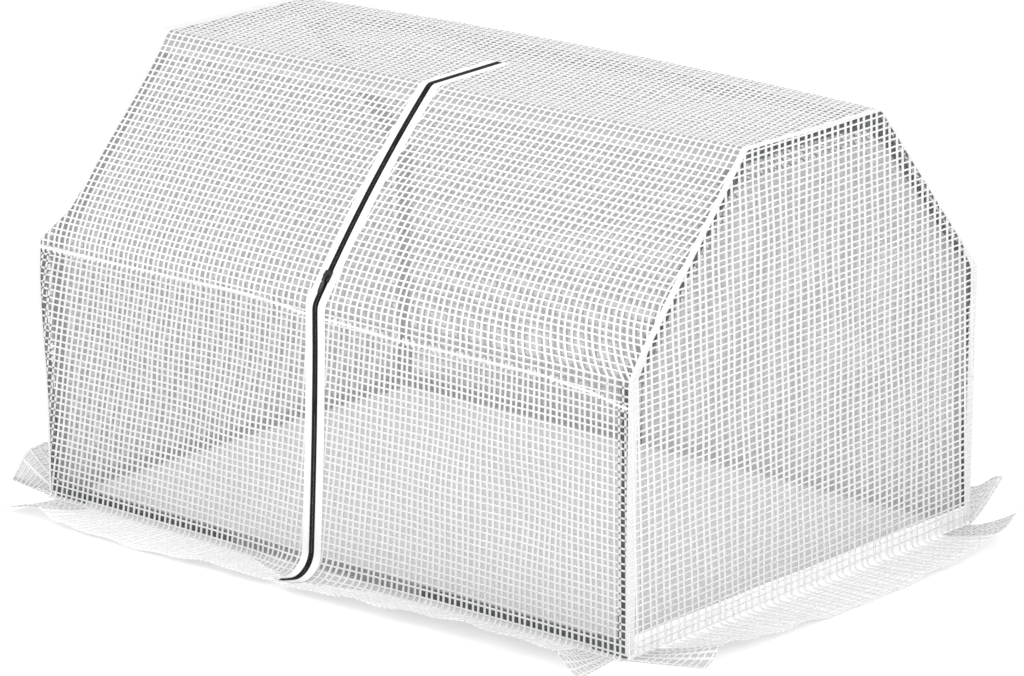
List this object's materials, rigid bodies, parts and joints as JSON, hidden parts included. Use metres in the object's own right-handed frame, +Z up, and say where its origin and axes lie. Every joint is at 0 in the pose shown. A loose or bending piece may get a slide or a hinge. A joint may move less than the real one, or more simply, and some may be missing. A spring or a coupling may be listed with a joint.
{
  "type": "tomato greenhouse",
  "caption": "Low tunnel greenhouse for tomatoes: plug-together tube hoops under a gridded film cover with a zipped front that folds out in flaps, and a skirt on the ground.",
  "frame": {"origin": "on the ground at the middle of the footprint, skirts included, at rest", "axes": "+X along the tunnel to its right end as seen from the zipped front, -Y towards the viewer of the zipped front, +Z up"},
  "size_m": [1.17, 0.89, 0.6021],
  "materials": {
    "tube": "dark green powder coat on thin steel tube",
    "socket": "moulded dark grey-green plastic",
    "film": "translucent polyethylene film with a white thread grid",
    "tape": "folded white film tape",
    "zip": "black moulded plastic"
  },
  "bodies": {
    "frame_and_cover": {"leg_tube_front_left": "tube", "slope_tube_front_left": "tube", "corner_foot_front_left": "socket", "knee_elbow_front_left": "socket", "shoulder_joint_front_left": "socket", "leg_tube_back_left": "tube", "slope_tube_back_left": "tube", "corner_foot_back_left": "socket", "knee_elbow_back_left": "socket", "shoulder_joint_back_left": "socket", "top_tube_left": "tube", "ground_rail_left": "tube", "leg_tube_front_right": "tube", "slope_tube_front_right": "tube", "corner_foot_front_right": "socket", "knee_elbow_front_right": "socket", "shoulder_joint_front_right": "socket", "leg_tube_back_right": "tube", "slope_tube_back_right": "tube", "corner_foot_back_right": "socket", "knee_elbow_back_right": "socket", "shoulder_joint_back_right": "socket", "top_tube_right": "tube", "ground_rail_right": "tube", "ground_rail_front": "tube", "roof_rail_front": "tube", "ground_rail_back": "tube", "roof_rail_back": "tube", "front_slope_left": "film", "front_slope_right": "film", "back_slope": "film", "roof_panel": "film", "back_wall": "film", "end_panel_left": "film", "end_panel_right": "film", "front_corner_left": "film", "front_corner_right": "film", "zip_chain_upper_left": "zip", "zip_chain_upper_right": "zip", "zip_tape_upper_left": "tape", "zip_tape_upper_right": "tape", "zip_end_patch": "tape"},
    "door_left": {"door_flap_left": "film", "skirt_front_left": "film", "zip_chain_door_left": "zip", "zip_tape_door_left": "tape"},
    "door_right": {"door_flap_right": "film", "skirt_front_right": "film", "zip_chain_door_right": "zip", "zip_tape_door_right": "tape"},
    "skirt_back_body": {"skirt_back": "film"},
    "skirt_left_body": {"skirt_left": "film"},
    "skirt_right_body": {"skirt_right": "film"},
    "slider_body": {"zip_slider": "zip"},
    "tab_body": {"pull_tab": "zip"}
  },
  "joints": [
    {"name": "door_left_fold", "type": "hinge", "parent": "frame_and_cover", "child": "door_left", "pos_m": [-0.479, -0.355, 0.014], "axis": [-0.8141, 0, -0.5807], "range_deg": [0, 85]},
    {"name": "door_right_fold", "type": "hinge", "parent": "frame_and_cover", "child": "door_right", "pos_m": [0.479, -0.355, 0.014], "axis": [-0.8308, 0, 0.5566], "range_deg": [0, 85]},
    {"name": "skirt_back_lift", "type": "hinge", "parent": "frame_and_cover", "child": "skirt_back_body", "pos_m": [0, 0.3553, 0.0005], "axis": [1, 0, 0], "range_deg": [0, 55]},
    {"name": "skirt_left_lift", "type": "hinge", "parent": "frame_and_cover", "child": "skirt_left_body", "pos_m": [-0.4953, 0, 0.0005], "axis": [0, 1, 0], "range_deg": [0, 55]},
    {"name": "skirt_right_lift", "type": "hinge", "parent": "frame_and_cover", "child": "skirt_right_body", "pos_m": [0.4953, 0, 0.0005], "axis": [0, -1, 0], "range_deg": [0, 60]},
    {"name": "zip_slider_travel", "type": "hinge", "parent": "frame_and_cover", "child": "slider_body", "pos_m": [-0.015, 1.0173, -0.63877], "axis": [-1, 0, 0], "range_deg": [0, 8.7]},
    {"name": "pull_tab_swing", "type": "hinge", "parent": "slider_body", "child": "tab_body", "pos_m": [-0.015, -0.33579, 0.38932], "axis": [-1, 0, 0], "range_deg": [0, 180]}
  ]
}
